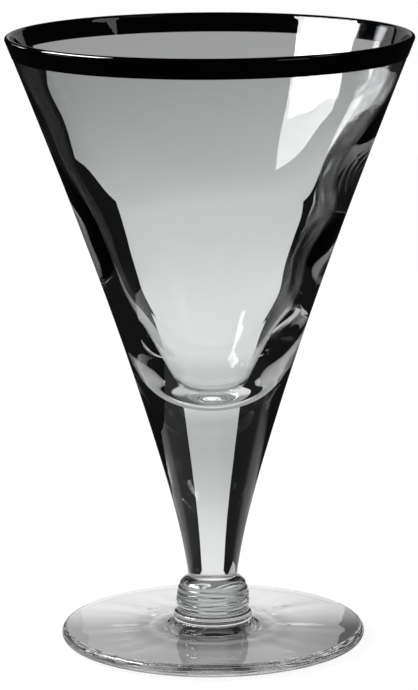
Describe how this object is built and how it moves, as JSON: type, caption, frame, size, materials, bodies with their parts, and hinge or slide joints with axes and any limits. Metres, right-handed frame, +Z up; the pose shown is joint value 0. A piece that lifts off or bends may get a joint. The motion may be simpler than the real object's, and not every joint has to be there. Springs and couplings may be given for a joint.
{
  "type": "water goblet",
  "caption": "Stemmed drinking glass with a flared conical bowl, a solid tapering stem, a ringed knop, a flat round foot and a dark metal band fired on the lip.",
  "frame": {"origin": "centre of the resting plane under the foot, on the goblet's axis", "axes": "+Z up along the axis towards the mouth, +X and +Y level; the goblet is round about Z"},
  "size_m": [0.1052, 0.1052, 0.1597],
  "materials": {
    "glass": "clear, fire-polished",
    "band_metal": "bright fired film, dark by reflection"
  },
  "bodies": {
    "root": {"bowl": "glass", "stem": "glass", "knop": "glass", "foot": "glass", "rim_band": "band_metal"}
  },
  "joints": []
}
